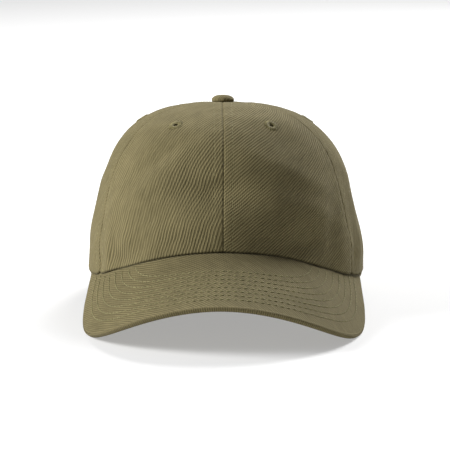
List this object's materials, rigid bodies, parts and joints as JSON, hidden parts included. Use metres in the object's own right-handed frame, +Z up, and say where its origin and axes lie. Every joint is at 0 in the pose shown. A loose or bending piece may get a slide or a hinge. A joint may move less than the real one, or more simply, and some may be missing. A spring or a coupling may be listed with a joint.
{
  "type": "dad hat",
  "caption": "Soft low-profile cotton cap with gored panels, covered top button, eyelets, curved stitched peak, inner sweatband and a buckled strap under a rear arch",
  "frame": {"origin": "middle of the bounding box in plan, on the surface that the hat rests on", "axes": "+Z up, -Y towards the front of the peak, +X towards the wearer's left; left and right in names are the wearer's"},
  "size_m": [0.173, 0.2558, 0.1262],
  "materials": {
    "crown_cloth": "washed olive khaki cotton twill, matt",
    "peak_cloth": "washed olive khaki cotton twill over a stiff sheet, matt",
    "button_cloth": "olive khaki cotton twill over a metal button, matt",
    "eyelet_thread": "olive embroidery thread, slight sheen",
    "band_cloth": "olive khaki cotton sweatband, matt",
    "strap_cloth": "olive khaki cotton twill strap, matt",
    "buckle_metal": "antiqued brass, brushed"
  },
  "bodies": {
    "root": {"panel_front_left": "crown_cloth", "panel_front_right": "crown_cloth", "panel_side_left": "crown_cloth", "panel_side_right": "crown_cloth", "panel_back_left": "crown_cloth", "panel_back_right": "crown_cloth", "peak": "peak_cloth", "top_button": "button_cloth", "eyelet_front_left": "eyelet_thread", "eyelet_front_right": "eyelet_thread", "eyelet_side_left": "eyelet_thread", "eyelet_side_right": "eyelet_thread", "eyelet_back_left": "eyelet_thread", "eyelet_back_right": "eyelet_thread", "sweatband": "band_cloth", "back_strap": "strap_cloth", "strap_buckle": "buckle_metal"}
  },
  "joints": []
}
